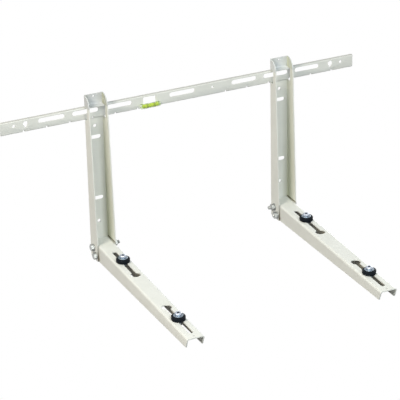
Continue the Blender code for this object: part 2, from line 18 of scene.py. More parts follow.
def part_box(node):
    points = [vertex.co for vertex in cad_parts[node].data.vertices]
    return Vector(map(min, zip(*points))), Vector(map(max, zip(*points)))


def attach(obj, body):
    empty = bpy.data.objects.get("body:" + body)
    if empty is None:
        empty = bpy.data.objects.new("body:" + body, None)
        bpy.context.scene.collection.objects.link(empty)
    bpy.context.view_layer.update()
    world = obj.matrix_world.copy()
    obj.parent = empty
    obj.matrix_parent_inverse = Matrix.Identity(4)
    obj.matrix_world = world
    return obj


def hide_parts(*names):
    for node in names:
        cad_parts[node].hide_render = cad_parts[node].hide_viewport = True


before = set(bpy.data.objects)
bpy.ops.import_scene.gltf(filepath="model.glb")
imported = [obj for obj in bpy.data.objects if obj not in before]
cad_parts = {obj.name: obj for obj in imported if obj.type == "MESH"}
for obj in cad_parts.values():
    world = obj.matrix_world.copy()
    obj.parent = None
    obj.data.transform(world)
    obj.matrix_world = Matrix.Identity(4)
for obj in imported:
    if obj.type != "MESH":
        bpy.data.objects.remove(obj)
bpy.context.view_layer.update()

MM = 0.001
SIDES = ("left", "right")
PLACES = ("rear", "front")


def add_object(name, data):
    """An object at the origin that shows a mesh, a lamp or a camera."""
    added = bpy.data.objects.new(name, data)
    bpy.context.scene.collection.objects.link(added)
    return added


# %% [markdown]
# ## Materials
#
# The sheet steel is powder coated, the fasteners are zinc plated, and the rest is black rubber, clear
# acrylic, the level's liquid and its printed lines. The coat is plain, dusty or thin, and the zinc is
# bright, dull or grey. A finish is a web of nodes, and the same few kinds of node come back in all of
# them, so each kind gets a short helper first.

# %% Node helpers
def feed(tree, value, socket):
    """Link an output to a socket, or set the socket where the value is a number or a colour."""
    if isinstance(value, bpy.types.NodeSocket):
        tree.links.new(value, socket)
    else:
        socket.default_value = value


def ramp(tree, value, start, end, first=0.0, last=1.0):
    """A clamped MapRange: it goes from first, where the value is at start, to last, where it is at end."""
    node = tree.nodes.new("ShaderNodeMapRange")
    node.inputs["From Min"].default_value = start
    node.inputs["From Max"].default_value = end
    node.inputs["To Min"].default_value = first
    node.inputs["To Max"].default_value = last
    feed(tree, value, node.inputs["Value"])
    return node.outputs["Result"]


def arithmetic(tree, operation, left, right=None):
    """A Math node on one or two values, each of them an output or a number."""
    node = tree.nodes.new("ShaderNodeMath")
    node.operation = operation
    feed(tree, left, node.inputs[0])
    if right is not None:
        feed(tree, right, node.inputs[1])
    return node.outputs[0]


def colour_mix(tree, factor, first, second, blend="MIX"):
    """A Mix node on two colours, each of them an output or a value."""
    mix = tree.nodes.new("ShaderNodeMix")
    mix.data_type = "RGBA"
    mix.blend_type = blend
    feed(tree, factor, mix.inputs["Factor"])
    feed(tree, first, mix.inputs["A"])
    feed(tree, second, mix.inputs["B"])
    return mix.outputs["Result"]


def new_group(name, inputs, outputs):
    """A shader node group with the given sockets: (name, kind, default) in, (name, kind) out."""
    group = bpy.data.node_groups.new(name, "ShaderNodeTree")
    for socket_name, kind, default in inputs:
        socket = group.interface.new_socket(socket_name, in_out="INPUT", socket_type=kind)
        socket.default_value = default
    for socket_name, kind in outputs:
        group.interface.new_socket(socket_name, in_out="OUTPUT", socket_type=kind)
    return group, group.nodes.new("NodeGroupInput"), group.nodes.new("NodeGroupOutput")


# %% [markdown]
# ### Grain and mottling
#
# Effects that several finishes share are node groups with named inputs, built once: a fine grain for the
# bump, and a soft mottling of the tone. Both read noise in object space, so they stay on the steel when
# a bracket slides.

# %% Shared node groups
FINE_TO_COARSE = 3.7
NOISE_LOW, NOISE_HIGH = 0.3, 0.7


def grain_group():
    """Fine grain: two noises of object space, a coarse and a fine one, blended by a share."""
    group, inside, outside = new_group(
        "surface_grain",
        [("Scale", "NodeSocketFloat", 900.0), ("Fine Share", "NodeSocketFloat", 0.4)],
        [("Height", "NodeSocketFloat")])
    nodes, links = group.nodes, group.links
    place = nodes.new("ShaderNodeTexCoord")
    coarse = nodes.new("ShaderNodeTexNoise")
    fine = nodes.new("ShaderNodeTexNoise")
    mix = nodes.new("ShaderNodeMix")
    links.new(place.outputs["Object"], coarse.inputs["Vector"])
    links.new(place.outputs["Object"], fine.inputs["Vector"])
    links.new(inside.outputs["Scale"], coarse.inputs["Scale"])
    links.new(arithmetic(group, "MULTIPLY", inside.outputs["Scale"], FINE_TO_COARSE), fine.inputs["Scale"])
    links.new(inside.outputs["Fine Share"], mix.inputs["Factor"])
    links.new(coarse.outputs["Fac"], mix.inputs["A"])
    links.new(fine.outputs["Fac"], mix.inputs["B"])
    links.new(mix.outputs["Result"], outside.inputs["Height"])
    return group


def mottle_group():
    """Soft mottling: a slow noise shifts a colour between a light and a dark version of itself."""
    group, inside, outside = new_group(
        "tone_mottle",
        [("Light", "NodeSocketColor", (1, 1, 1, 1)), ("Dark", "NodeSocketColor", (0.9, 0.9, 0.9, 1)),
         ("Scale", "NodeSocketFloat", 40.0), ("Detail", "NodeSocketFloat", 4.0)],
        [("Color", "NodeSocketColor"), ("Mask", "NodeSocketFloat")])
    nodes, links = group.nodes, group.links
    place = nodes.new("ShaderNodeTexCoord")
    noise = nodes.new("ShaderNodeTexNoise")
    links.new(place.outputs["Object"], noise.inputs["Vector"])
    links.new(inside.outputs["Scale"], noise.inputs["Scale"])
    links.new(inside.outputs["Detail"], noise.inputs["Detail"])
    spread = ramp(group, noise.outputs["Fac"], NOISE_LOW, NOISE_HIGH)
    tone = colour_mix(group, spread, inside.outputs["Light"], inside.outputs["Dark"])
    links.new(tone, outside.inputs["Color"])
    links.new(spread, outside.inputs["Mask"])
    return group


GRAIN = grain_group()
MOTTLE = mottle_group()


def finish_of(name, light, dark, mottle_scale, roughness, grain_scale, grain_depth, metallic=0.0):
    """A finish: mottled colour, roughness that varies with it, and a grain that feeds the bump."""
    material = bpy.data.materials.new(name)
    material.use_nodes = True
    tree = material.node_tree
    shader = tree.nodes["Principled BSDF"]
    shader.inputs["Metallic"].default_value = metallic
    mottle = tree.nodes.new("ShaderNodeGroup")
    mottle.node_tree = MOTTLE
    mottle.inputs["Light"].default_value = (*light, 1)
    mottle.inputs["Dark"].default_value = (*dark, 1)
    mottle.inputs["Scale"].default_value = mottle_scale
    tree.links.new(mottle.outputs["Color"], shader.inputs["Base Color"])
    tree.links.new(ramp(tree, mottle.outputs["Mask"], 0.0, 1.0, *roughness), shader.inputs["Roughness"])
    grain = tree.nodes.new("ShaderNodeGroup")
    grain.node_tree = GRAIN
    grain.inputs["Scale"].default_value = grain_scale
    bump = tree.nodes.new("ShaderNodeBump")
    bump.inputs["Strength"].default_value = 1.0
    bump.inputs["Distance"].default_value = grain_depth
    tree.links.new(grain.outputs["Height"], bump.inputs["Height"])
    tree.links.new(bump.outputs["Normal"], shader.inputs["Normal"])
    return material


def set_highlight(material, level):
    """How strong the highlight of a finish is, where 0.5 is the shader's own setting."""
    material.node_tree.nodes["Principled BSDF"].inputs["Specular IOR Level"].default_value = level


print("node groups:", [group.name for group in (GRAIN, MOTTLE)])

# %% [markdown]
# ### Powder coat, zinc plate and rubber
#
# Powder coat is a light warm grey with the faint orange peel of fused powder, about a millimetre from
# crest to crest and only some hundredths deep. Zinc plate is a cool metal with a cloudy sheen. Moulded
# rubber is nearly black. The coat's tones were set by comparing renders with the picture, so they carry
# some of the picture's own light as well as the paint's colour.

# %% Opaque finishes
def coat_of(name, light, dark, roughness):
    """Powder coat: a slow mottling and the orange peel of fused powder."""
    return finish_of(name, light, dark, mottle_scale=28.0, roughness=roughness, grain_scale=1100.0,
                     grain_depth=0.03 * MM)


def metal_of(name, light, dark, roughness):
    """Plated steel: a cloudy mottling and a very fine grain."""
    return finish_of(name, light, dark, mottle_scale=260.0, roughness=roughness, grain_scale=2600.0,
                     grain_depth=0.012 * MM, metallic=1.0)


powder_coat = coat_of("powder_coat", (0.735, 0.742, 0.715), (0.700, 0.708, 0.680), (0.42, 0.50))
# The rail's upper ledge: painted shade, darkened to nearly the grey of the web below it
ledge_shade_coat = coat_of("ledge_shade_coat", (0.50, 0.50, 0.48), (0.45, 0.45, 0.43), (0.60, 0.70))
# The arms' insides: painted shade together with a thin coat
thin_and_shaded_coat = coat_of("thin_and_shaded_coat", (0.30, 0.285, 0.225), (0.24, 0.23, 0.18), (0.55, 0.65))
zinc_plate = metal_of("zinc_plate", (0.66, 0.71, 0.79), (0.52, 0.57, 0.66), (0.24, 0.38))
dull_zinc = metal_of("dull_zinc", (0.52, 0.53, 0.52), (0.38, 0.39, 0.38), (0.38, 0.52))
grey_zinc = metal_of("grey_zinc", (0.34, 0.40, 0.45), (0.24, 0.29, 0.34), (0.30, 0.42))
# Painted shade inside the cap bolts' hexagon sockets, where the cap's zinc lies in shade
socket_shade = metal_of("socket_shade", (0.06, 0.08, 0.10), (0.04, 0.05, 0.07), (0.45, 0.60))
black_rubber = finish_of("black_rubber", (0.003, 0.005, 0.008), (0.007, 0.010, 0.014), mottle_scale=180.0,
                         roughness=(0.45, 0.62), grain_scale=2200.0, grain_depth=0.03 * MM)
set_highlight(black_rubber, 0.08)
print("opaque finishes:", [finish.name for finish in (powder_coat, ledge_shade_coat, thin_and_shaded_coat, zinc_plate,
                                                      dull_zinc, grey_zinc, socket_shade, black_rubber)])

# %% [markdown]
# ### The level: acrylic, liquid and printed lines
#
# The tube is clear acrylic. It shows as a faint tint with sharp highlights, so a low alpha under a
# glossy surface says more than real refraction at this size, and the light still reaches the liquid.

# %% Finishes of the level
clear_acrylic = finish_of("clear_acrylic", (0.50, 0.70, 0.20), (0.45, 0.65, 0.17), mottle_scale=90.0,
                          roughness=(0.04, 0.08), grain_scale=1500.0, grain_depth=0.004 * MM)
clear_acrylic.node_tree.nodes["Principled BSDF"].inputs["Alpha"].default_value = 0.24
level_liquid = finish_of("level_liquid", (0.66, 0.74, 0.006), (0.58, 0.68, 0.004), mottle_scale=150.0,
                         roughness=(0.25, 0.35), grain_scale=800.0, grain_depth=0.003 * MM)
set_highlight(level_liquid, 0.15)
printed_black = finish_of("printed_black", (0.012, 0.012, 0.012), (0.02, 0.02, 0.02), mottle_scale=300.0,
                          roughness=(0.35, 0.45), grain_scale=3000.0, grain_depth=0.003 * MM)
print("finishes of the level:", [finish.name for finish in (clear_acrylic, level_liquid, printed_black)])

# %% [markdown]
# ## Sheet steel
#
# The rail, the uprights and the arms are punched and folded sheet. Their solids have the right forms, but
# razor-sharp edges. A real sheet edge is broken by tumbling and by the coat, and that thin bright line
# along each edge is what makes it read as sheet. So each solid is copied, its loose triangles are merged
# and flat faces joined again, and a small Bevel rounds every edge.

# %% Boxes, face centres and face normals
def node_box(node):
    """Lowest and highest corner of a solid and its middle."""
    low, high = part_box(node)
    return Vector(low), Vector(high), (Vector(low) + Vector(high)) / 2


def face_table(mesh):
    """Centre and normal of every face, as two arrays with a row per face."""
    centres, normals = np.empty(3 * len(mesh.polygons)), np.empty(3 * len(mesh.polygons))
    mesh.polygons.foreach_get("center", centres)
    mesh.polygons.foreach_get("normal", normals)
    return centres.reshape(-1, 3), normals.reshape(-1, 3)


# %% [markdown]
# ### Where shade is painted into the coat
#
# In the picture an upright is darker and more olive along its inside bends, more so towards the foot. An
# arm is dark inside, and the narrow gap between the two is darker still. Powder reaches inner corners
# badly, so a thin coat can be part of it, and shade is another part. One picture does not tell the two
# apart, and here both are in the coat's colour, as painted shade over a thin coat. The head of an upright,
# above the rail, looks greyer than the rest, on the left more than on the right, and its greyer tone is
# painted shade as well.
#
# Masks of position alone do this: how far a point lies from the bracket's middle, from the wall, and
# from the heights of the rail, the arm and the foot. Each mask is made of ramps between 0 and 1.

# %% Places and tones of the painted shade
ARM_TIP, ARM_TOP = node_box("left_arm")[:2]
FOOT = node_box("left_upright")[0]
RAIL_FOOT, RAIL_TOP = node_box("rail")[:2]
WEB_SHEET = 2.5 * MM

# Where the ramps start and end. A flange's inner face lies 18.75 mm from the bracket's middle
UP_TO_FLANGE_FACE = (17.6 * MM, 18.6 * MM)
INTO_FLANGE_SHEET = (18.9 * MM, 19.5 * MM)
TOWARDS_FLANGE = (5 * MM, 18 * MM)
TOWARDS_WEB = (-46 * MM, -7 * MM)
OFF_WEB_FACE = (0.4 * MM, 0.8 * MM)
ABOVE_RAIL = (RAIL_TOP.z, RAIL_TOP.z + 3 * MM)
RAIL_DOWN_TO_ARM = (RAIL_FOOT.z, ARM_TOP.z)
BEHIND_FRONT_EDGE = (FOOT.y + 1.6 * MM, FOOT.y + 2.4 * MM)
ABOVE_ARM_TOP = (ARM_TOP.z + 0.5 * MM, ARM_TOP.z + 2 * MM)
FOOT_UP_TO_ARM_TOP = (FOOT.z + 8 * MM, ARM_TOP.z)
ARM_TOP_LINE = ARM_TOP.z + 1 * MM
OFF_ARM_TOP_LINE = (1 * MM, 2 * MM)
BEHIND_ARM_TIP = (ARM_TIP.y + 2 * MM, ARM_TIP.y + 45 * MM)

SHARE_AT_RAIL = 0.4
SHARE_AT_ARM_TOP = 0.35
# Tones of painted shade, blended over the coat by the masks. Near an arm's open tip the shade is painted
# lighter
BEND_SHADE_TONE = (0.40, 0.40, 0.33, 1)
CORNER_SHADE_TONE = (0.56, 0.57, 0.42, 1)
JOINT_SHADE_TONE = (0.10, 0.085, 0.055, 1)
ARM_TIP_TONE = (0.72, 0.73, 0.69, 1)
# Painted shade on the head, greyer on the left than on the right
HEAD_SHADE_TONE = {"left": (0.78, 0.79, 0.84, 1), "right": (0.89, 0.91, 0.96, 1)}


# %% Masks of an upright
def point_axes(tree):
    """The X, Y and Z of each point in object space, which is the frame's own space at rest."""
    place = tree.nodes.new("ShaderNodeTexCoord")
    axes = tree.nodes.new("ShaderNodeSeparateXYZ")
    tree.links.new(place.outputs["Object"], axes.inputs["Vector"])
    return axes.outputs["X"], axes.outputs["Y"], axes.outputs["Z"]


def distance(tree, value, origin):
    """How far a value lies from an origin, to either side."""
    return arithmetic(tree, "ABSOLUTE", arithmetic(tree, "SUBTRACT", value, origin))


def product(tree, *masks):
    """The masks multiplied: 1 only where all of them are 1."""
    result = masks[0]
    for mask in masks[1:]:
        result = arithmetic(tree, "MULTIPLY", result, mask)
    return result


def upright_mask_group():
    """Four masks of painted shade on an upright, each from 0 to 1.

    Head: all that is above the rail.
    Bend: the web's inner face, stronger towards the flanges and down towards the arm.
    Corner: a flange's inner face, stronger towards the web, weakest at the rail and full above it.
    Joint: the foremost 2 mm of the flanges from the arm's top down, stronger downwards, and a line along
    that top on their inner faces.
    """
    group, inside, outside = new_group("upright_masks", [("Middle", "NodeSocketFloat", 0.0)],
                                       [("Head", "NodeSocketFloat"), ("Bend", "NodeSocketFloat"),
                                        ("Corner", "NodeSocketFloat"), ("Joint", "NodeSocketFloat")])
    x, y, z = point_axes(group)
    aside = distance(group, x, inside.outputs["Middle"])
    within = ramp(group, aside, *INTO_FLANGE_SHEET, 1.0, 0.0)
    face = product(group, within, ramp(group, aside, *UP_TO_FLANGE_FACE))
    head = ramp(group, z, *ABOVE_RAIL)
    lower = ramp(group, z, *RAIL_DOWN_TO_ARM, SHARE_AT_RAIL, 1.0)
    strength = arithmetic(group, "MAXIMUM", lower, head)
    corner = product(group, face, ramp(group, y, *TOWARDS_WEB), strength)
    web = ramp(group, distance(group, y, -WEB_SHEET), *OFF_WEB_FACE, 1.0, 0.0)
    beside = product(group, ramp(group, aside, *TOWARDS_FLANGE), within)
    bend = product(group, web, beside, lower)
    edge = ramp(group, y, *BEHIND_FRONT_EDGE, 1.0, 0.0)
    below = ramp(group, z, *ABOVE_ARM_TOP, 1.0, 0.0)
    darker = ramp(group, z, *FOOT_UP_TO_ARM_TOP, 1.0, SHARE_AT_ARM_TOP)
    seam = product(group, edge, below, darker)
    line = product(group, ramp(group, distance(group, z, ARM_TOP_LINE), *OFF_ARM_TOP_LINE, 1.0, 0.0), face)
    joint = arithmetic(group, "MAXIMUM", seam, line)
    for name, mask in (("Head", head), ("Bend", bend), ("Corner", corner), ("Joint", joint)):
        group.links.new(mask, outside.inputs[name])
    return group


UPRIGHT_MASKS = upright_mask_group()
print("masks of an upright:", [socket.name for socket in UPRIGHT_MASKS.interface.items_tree
                               if socket.in_out == "OUTPUT"])


# %% Coats of the uprights and of the arms' insides
def tint(tree, mask, tone, blend="MIX"):
    """Blend a tone over the coat's colour where the mask says so."""
    base = tree.nodes["Principled BSDF"].inputs["Base Color"]
    tree.links.new(colour_mix(tree, mask, base.links[0].from_socket, tone, blend), base)


def upright_coat(side):
    """Powder coat with painted shade: olive inside bends, a greyer head and a dark joint."""
    material = powder_coat.copy()
    material.name = side + "_upright_coat"
    tree = material.node_tree
    masks = tree.nodes.new("ShaderNodeGroup")
    masks.node_tree = UPRIGHT_MASKS
    masks.inputs["Middle"].default_value = node_box(side + "_upright")[2].x
    for name, tone, blend in (("Bend", BEND_SHADE_TONE, "MIX"), ("Corner", CORNER_SHADE_TONE, "MIX"),
                              ("Head", HEAD_SHADE_TONE[side], "MULTIPLY"), ("Joint", JOINT_SHADE_TONE, "MIX")):
        tint(tree, masks.outputs[name], tone, blend)
    return material


def arm_inside_shade():
    """Painted shade on a thin coat inside an arm, nearly as light as the coat outside near the open tip."""
    material = thin_and_shaded_coat.copy()
    material.name = "arm_inside_shade_coat"
    tree = material.node_tree
    tint(tree, ramp(tree, point_axes(tree)[1], *BEHIND_ARM_TIP, 1.0, 0.0), ARM_TIP_TONE)
    return material


# %% [markdown]
# ### Dressing a sheet
#
# Faces that differ from the rest get a material of their own: the rail's upper flange, a ledge that is
# darkened with painted shade, and the inside of an arm, which is dark with painted shade on a thin coat.

# %% Dress the folded sheets
EDGE_BREAK = 0.25 * MM
SHEET_CREASE = 32
LEDGE_DEPTH = 2 * MM
ARM_SHEET_DEPTH = 2 * MM
OFF_ARM_MIDDLE = 3 * MM


def dress_sheet(node, body, coat, other_coat=None, other_faces=None):
    """Copy of a solid with its flat faces joined and its edges rounded by EDGE_BREAK.

    other_faces says from the faces' centres and normals which of them get the other coat.
    """
    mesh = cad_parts[node].data.copy()
    shape = bmesh.new()
    shape.from_mesh(mesh)
    bmesh.ops.remove_doubles(shape, verts=shape.verts[:], dist=0.002 * MM)
    bmesh.ops.dissolve_limit(shape, angle_limit=math.radians(0.5), verts=shape.verts[:],
                             edges=shape.edges[:], use_dissolve_boundaries=False)
    shape.to_mesh(mesh)
    shape.free()
    mesh.name = node + "_sheet"
    mesh.materials.clear()
    mesh.materials.append(coat)
    if other_coat:
        mesh.materials.append(other_coat)
        chosen = other_faces(*face_table(mesh))
        mesh.polygons.foreach_set("material_index", chosen.astype(np.int32))
    mesh.shade_smooth()
    mesh.set_sharp_from_angle(angle=math.radians(SHEET_CREASE))
    piece = add_object(node + "_sheet", mesh)
    edges = piece.modifiers.new("broken edges", "BEVEL")
    edges.limit_method = "ANGLE"
    edges.angle_limit = math.radians(40)
    edges.width = EDGE_BREAK
    edges.segments = 2
    edges.harden_normals = True
    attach(piece, body)
    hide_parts(node)
    return piece


def rail_ledge(centres, normals):
    """Faces of the rail's upper flange that look up."""
    return (normals[:, 2] > 0.7) & (centres[:, 2] > node_box("rail")[1].z - LEDGE_DEPTH)


def arm_inside(side):
    """A rule for the faces inside an arm: below its top sheet, and turned to its middle or down."""
    _, high, middle = node_box(side + "_arm")

    def rule(centres, normals):
        towards_middle = (centres[:, 0] - middle.x) * normals[:, 0] < -OFF_ARM_MIDDLE
        under = normals[:, 2] < -0.9
        return (towards_middle | under) & (centres[:, 2] < high.z - ARM_SHEET_DEPTH)
    return rule


arm_inside_shade_coat = arm_inside_shade()
sheets = [dress_sheet("rail", "rail", powder_coat, ledge_shade_coat, rail_ledge)]
for side in SIDES:
    body = side + "_bracket"
    sheets.append(dress_sheet(side + "_upright", body, upright_coat(side)))
    sheets.append(dress_sheet(side + "_arm", body, powder_coat, arm_inside_shade_coat, arm_inside(side)))
print("sheets:", [(sheet.name, len(sheet.data.polygons)) for sheet in sheets])

# %% [markdown]
# ### The rail's ruler
#
# Along the rail's lower edge runs a row of round notches, 50 mm apart, by which the brackets are set.
# They are punched right through the bend, so that light shows through them. A cutter is a round bar
# across the bend: two circles of points at its ends, joined by quads.

# %% Open the notches of the rail
# The bars' radius is 0.1 mm more than that of the solid's notches, so that no two walls coincide
MARK_RADIUS = 2.6 * MM
MARK_RISE = 1.5 * MM
MARK_PLACES = [sign * count * 50 * MM for sign in (-1, 1) for count in range(2, 8)]
OVERCUT = 1 * MM
BAR_SIDES = 24


def bar_mesh(name, places, radius, front, back, height):
    """Round bars along Y, one per place: x = place + r cos t, z = height + r sin t."""
    turn = np.linspace(0, 2 * np.pi, BAR_SIDES, endpoint=False)
    step = np.arange(BAR_SIDES)
    beside = (step + 1) % BAR_SIDES
    walls = np.stack([step, beside, beside + BAR_SIDES, step + BAR_SIDES], axis=1)
    points, faces = [], []
    for place in places:
        start = len(points) * 2 * BAR_SIDES
        ring = np.stack([place + radius * np.cos(turn), np.zeros(BAR_SIDES),
                         height + radius * np.sin(turn)], axis=1)
        points.append(np.concatenate([ring + [0, front, 0], ring + [0, back, 0]]))
        faces += (start + walls).tolist()
        faces += [(start + step[::-1]).tolist(), (start + step + BAR_SIDES).tolist()]
    mesh = bpy.data.meshes.new(name)
    mesh.from_pydata(np.concatenate(points).tolist(), [], faces)
    shape = bmesh.new()
    shape.from_mesh(mesh)
    bmesh.ops.recalc_face_normals(shape, faces=shape.faces[:])
    shape.to_mesh(mesh)
    shape.free()
    return mesh


def open_notches(piece):
    """Subtract the bars from the piece's mesh and take the bars away again."""
    low, high, _ = node_box("rail")
    bars = add_object("notch_bars", bar_mesh("notch_bars", MARK_PLACES, MARK_RADIUS, low.y - OVERCUT,
                                             high.y + OVERCUT, low.z + MARK_RISE))
    plain = add_object("rail_plain", piece.data)
    cut = plain.modifiers.new("notches", "BOOLEAN")
    cut.solver = "EXACT"
    cut.object = bars
    piece.data = bpy.data.meshes.new_from_object(
        plain.evaluated_get(bpy.context.evaluated_depsgraph_get()))
    bpy.data.objects.remove(plain)
    bpy.data.objects.remove(bars)


open_notches(sheets[0])
print("notches opened:", len(MARK_PLACES))

# %% [markdown]
# ## Fasteners as surfaces of two parameters
#
# Every fastener is a turned or nearly turned form, so one idea makes them all: a grid of points whose
# rows run along the axis and whose columns run round it. A row gives its height, and the radius of each
# of its points. Where the radius is constant the row is a circle, where it follows the hexagon's rule it
# is a hexagon, and where it also depends on the turn angle and the height together it is a thread.

# %% Grid helpers
AROUND = 96
TURN = np.linspace(0, 2 * np.pi, AROUND, endpoint=False)


def hex_radius(across_flats):
    """Radius of a hexagon at each turn angle: half the width over the cosine from the flat's middle."""
    from_flat = (TURN + np.pi / 6) % (np.pi / 3) - np.pi / 6
    return across_flats / 2 / np.cos(from_flat)


def rows_to_points(rows):
    """Grid of points from rows of (height, radius): x = r cos t, y = r sin t, z = height."""
    heights = np.array([row[0] for row in rows], float)
    radii = np.array([np.broadcast_to(row[1], TURN.shape) for row in rows], float)
    return np.stack([radii * np.cos(TURN), radii * np.sin(TURN),
                     np.broadcast_to(heights[:, None], radii.shape)], axis=-1)


def grid_mesh(name, points, ring=False):
    """Mesh of a grid that closes round its columns, and with ring also from its last row to its first."""
    rows, columns = points.shape[:2]
    row = np.arange(rows if ring else rows - 1)[:, None]
    column = np.arange(columns)[None, :]
    below = (row + 1) % rows
    beside = (column + 1) % columns
    quads = np.stack([row * columns + column, below * columns + column,
                      below * columns + beside, row * columns + beside], axis=-1).reshape(-1, 4)
    mesh = bpy.data.meshes.new(name)
    mesh.from_pydata(points.reshape(-1, 3).tolist(), [], quads.tolist())
    shape = bmesh.new()
    shape.from_mesh(mesh)
    bmesh.ops.remove_doubles(shape, verts=shape.verts[:], dist=0.001 * MM)
    bmesh.ops.dissolve_degenerate(shape, edges=shape.edges[:], dist=0.0005 * MM)
    bmesh.ops.recalc_face_normals(shape, faces=shape.faces[:])
    shape.to_mesh(mesh)
    shape.free()
    return mesh


# %% Place a piece, dress it and tie it to the frame
FACING = {"up": Matrix.Identity(4), "right": Matrix.Rotation(math.pi / 2, 4, "Y"),
          "left": Matrix.Rotation(-math.pi / 2, 4, "Y")}
TURNED_CREASE = 35


def place_piece(mesh, centre, body, node, material, facing="up"):
    """Put a mesh at its centre with its axis facing that way, and tie it to the node it stands for."""
    mesh.transform(Matrix.Translation(centre) @ FACING[facing])
    mesh.materials.append(material)
    mesh.shade_smooth()
    mesh.set_sharp_from_angle(angle=math.radians(TURNED_CREASE))
    piece = add_object(mesh.name, mesh)
    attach(piece, body)
    if node:
        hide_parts(node)


# %% [markdown]
# ### Threads
#
# A metric M8 thread climbs 1.25 mm a turn. On the grid that is a radius that rises and falls with
# height minus pitch times turn angle over a full circle: a triangle wave with its crests cut flat.

# %% Thread radius
THREAD_MAJOR = 8 * MM
THREAD_TIP_RADIUS = THREAD_MAJOR / 4
PITCH = 1.25 * MM
THREAD_DEPTH = 0.62 * MM


def thread_rows(top, bottom):
    """Rows of a thread from top to bottom: radius = major / 2 - depth * wave(height / pitch - turn).

    The wave fades in and out at the ends, and the last millimetre narrows by 0.7 mm.
    """
    steps = max(2, int(abs(top - bottom) / PITCH * 10))
    rows = []
    for height in np.linspace(top, bottom, steps):
        phase = (height / PITCH - TURN / (2 * np.pi)) % 1.0
        wave = np.clip(np.abs(phase - 0.5) * 2.6 - 0.2, 0, 1)
        fade = np.clip(min(abs(height - bottom), abs(top - height)) / (0.8 * PITCH), 0, 1)
        lead_in = np.clip((height - bottom) / (1.0 * MM), 0, 1) * 0.7 * MM - 0.7 * MM
        rows.append((height, THREAD_MAJOR / 2 - THREAD_DEPTH * wave * fade + lead_in))
    return rows


# %% [markdown]
# ### Hexagon bolts, nuts and washers of the corner
#
# A hexagon head is chamfered by a cone, which leaves the known arcs on its flats. On the grid this is
# the smaller of two radii at each point: the hexagon's and the cone's at that height.

# %% Corner bolts, nuts and washers
ACROSS_FLATS = 13 * MM
CONE_RADIUS = ACROSS_FLATS / 2 * 0.97
CONE_SLOPE = 1.75
HEAD_HEIGHT = 5.3 * MM
NECK_LENGTH = 3 * MM
THREAD_STARTS = 4 * MM
BORE_CHAMFER = 0.5 * MM


def chamfered_hex(height, top):
    """The smaller of the hexagon's radius and that of a cone that narrows towards the top face."""
    cone = CONE_RADIUS + abs(top - height) * CONE_SLOPE
    return np.minimum(hex_radius(ACROSS_FLATS), cone)


def hex_bolt_mesh(name, head_top, head_low, end):
    """A flat-topped head, chamfered over its first 0.9 mm, then a short plain neck, then the thread."""
    rows = [(head_top, 0.0), (head_top, ACROSS_FLATS / 2 * 0.80), (head_top, CONE_RADIUS)]
    for depth in np.linspace(0, 1, 8)[1:]:
        height = head_top - depth * 0.9 * MM
        rows.append((height, chamfered_hex(height, head_top)))
    rows += [(head_low, hex_radius(ACROSS_FLATS)), (head_low, THREAD_MAJOR / 2)]
    rows += [(head_low - NECK_LENGTH, THREAD_MAJOR / 2)]
    rows += thread_rows(head_low - THREAD_STARTS, end)
    rows += [(end, THREAD_TIP_RADIUS), (end, 0.0)]
    return grid_mesh(name, rows_to_points(rows))


def nut_mesh(name, half):
    """A ring grid: up the bore, out over the top, down the flats with 0.8 mm chamfers, in below."""
    bore = 4.25 * MM
    rows = [(-half + BORE_CHAMFER, bore), (half - BORE_CHAMFER, bore), (half, bore + BORE_CHAMFER)]
    rows += [(half, CONE_RADIUS)]
    steps = np.linspace(0, 1, 7)[1:] * 0.8 * MM
    rows += [(half - step, chamfered_hex(half - step, half)) for step in steps]
    rows += [(-half + step, chamfered_hex(-half + step, -half)) for step in steps[::-1]]
    rows += [(-half, CONE_RADIUS), (-half, bore + BORE_CHAMFER)]
    return grid_mesh(name, rows_to_points(rows), ring=True)


def washer_mesh(name, radius, half):
    """A ring grid with the slightly rounded rim that stamping leaves."""
    bore = 4.3 * MM
    rim = 0.35 * MM
    bend = np.linspace(0, np.pi / 2, 4)
    rows = [(-half, bore), (half, bore)]
    rows += [(half - rim + rim * np.cos(a), radius - rim + rim * np.sin(a)) for a in bend]
    rows += [(-half + rim - rim * np.sin(a), radius - rim + rim * np.cos(a)) for a in bend]
    return grid_mesh(name, rows_to_points(rows), ring=True)


for side in SIDES:
    for level in ("upper", "lower"):
        stem = f"{side}_{level}_corner_"
        body = side + "_bracket"
        low, high, middle = node_box(stem + "bolt")
        half = (high.x - low.x) / 2
        bolt = hex_bolt_mesh(stem + "bolt_fine", half, half - HEAD_HEIGHT, -half)
        place_piece(bolt, middle, body, stem + "bolt", dull_zinc, facing=side)
        low, high, middle = node_box(stem + "nut")
        nut = nut_mesh(stem + "nut_fine", (high.x - low.x) / 2)
        place_piece(nut, middle, body, stem + "nut", dull_zinc, facing=side)
        for part in ("bolt_washer", "nut_washer"):
            low, high, middle = node_box(stem + part)
            ring = washer_mesh(stem + part + "_fine", (high.y - low.y) / 2, (high.x - low.x) / 2)
            place_piece(ring, middle, body, stem + part, dull_zinc, facing=side)
print("corner fasteners dressed")

# %% [markdown]
# ### Anti-vibration mounts
#
# Each mount is a moulded rubber puck under a washer, held by a socket-head cap bolt that goes down
# through the arm's slot into a nut. The cap's side is knurled, its socket is a hexagon with painted shade
# inside, and the puck carries the fine parting line of its mould and a soft rounded rim.

# %% Pucks, cap bolts, washers and nuts of the mounts
CAP_HEIGHT = 5 * MM
CAP_RADIUS = 6.5 * MM
KNURL_DEPTH = 0.16 * MM
KNURLS = 48
SOCKET_FLATS = 5 * MM
SOCKET_DEPTH = 3 * MM
# A little wider than the socket's corners, just below its rim, and deeper than its bottom
SOCKET_REACH, SOCKET_RIM, SOCKET_BOTTOM = 2.95 * MM, 0.1 * MM, 4.2 * MM


